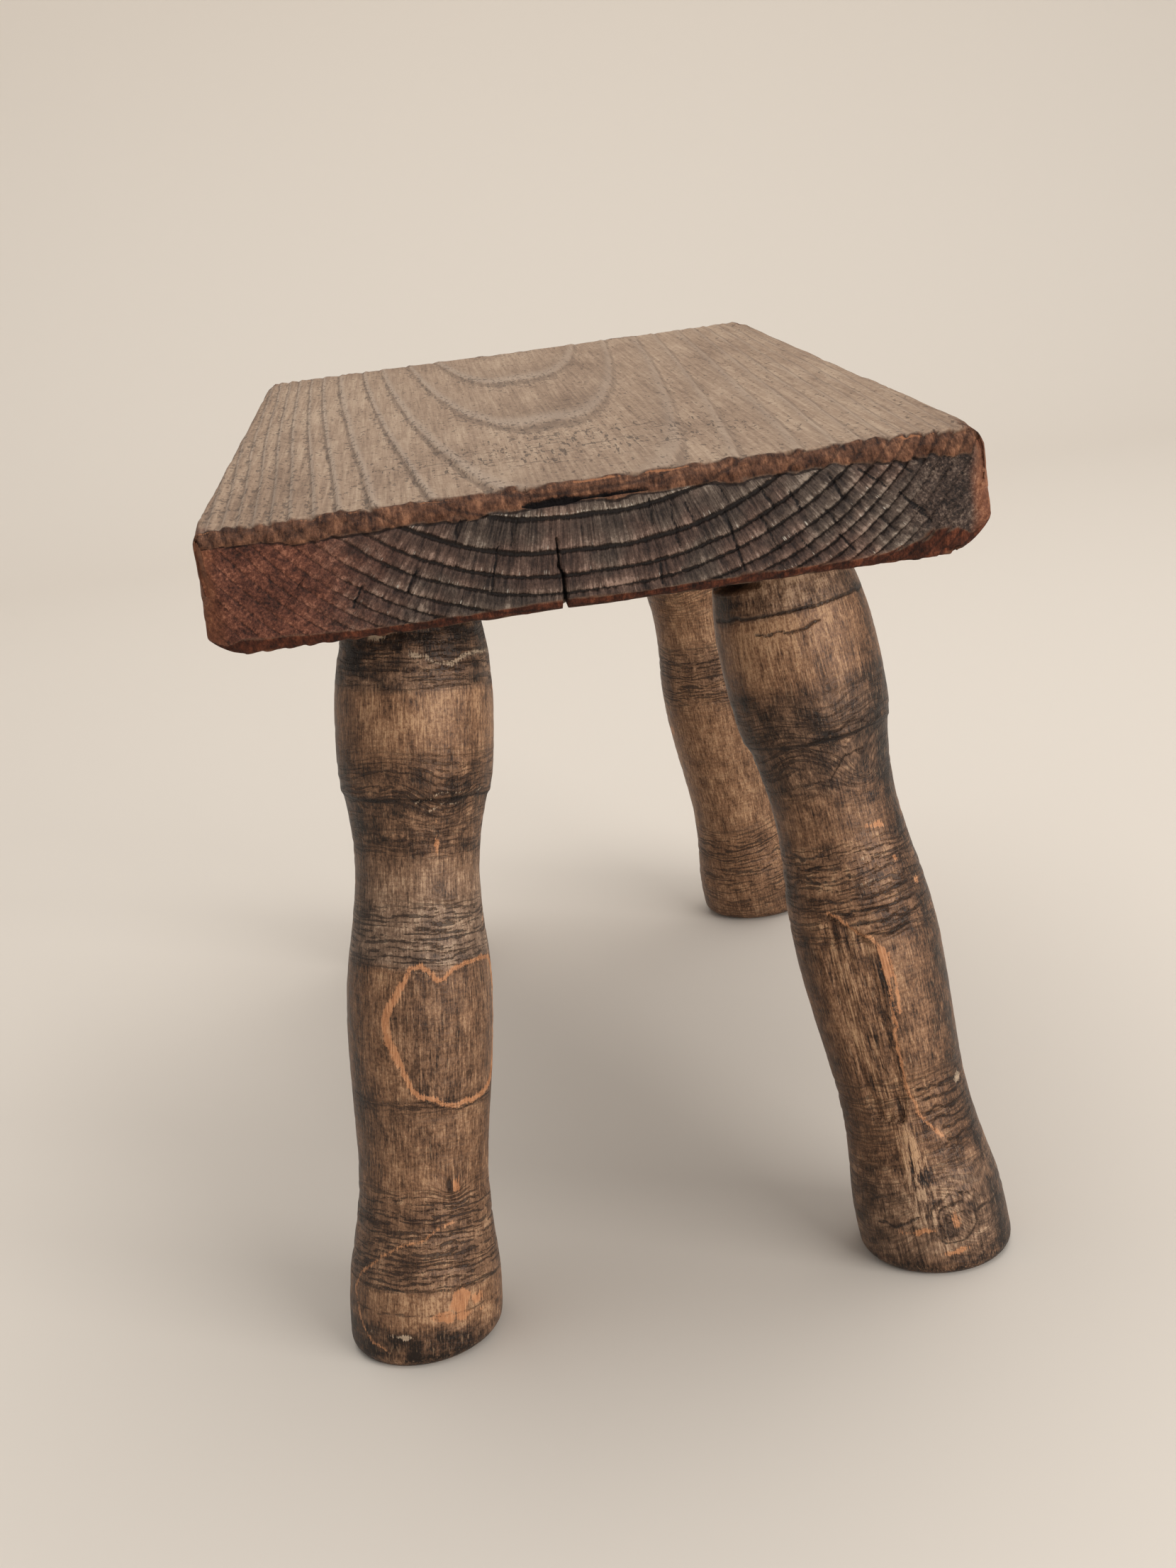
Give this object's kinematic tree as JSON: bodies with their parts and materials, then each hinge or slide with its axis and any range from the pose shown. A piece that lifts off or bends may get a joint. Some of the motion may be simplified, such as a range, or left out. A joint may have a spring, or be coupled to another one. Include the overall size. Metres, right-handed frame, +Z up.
{
  "type": "wooden milking stool",
  "caption": "Low wooden stool with a thick rectangular plank seat on splayed turned legs with swelling outlines, tenoned blind into the seat.",
  "frame": {"origin": "on the ground under the middle of the seat", "axes": "+Z up; the board's grain and length run along Y; X is across the seat; -Y is the end in the picture's foreground"},
  "size_m": [0.18, 0.35, 0.22],
  "materials": {
    "seat_wood": "old softwood board, greyed brown and dark with age, hand-waxed sheen, raised grain, worn red-brown edges",
    "leg_wood": "old turned hardwood, dark brown with near-black turning marks and worn orange-brown patches, low satin sheen"
  },
  "bodies": {
    "root": {"seat_board": "seat_wood", "leg_front_left": "leg_wood", "leg_front_right": "leg_wood", "leg_rear_left": "leg_wood", "leg_rear_right": "leg_wood"}
  },
  "joints": []
}
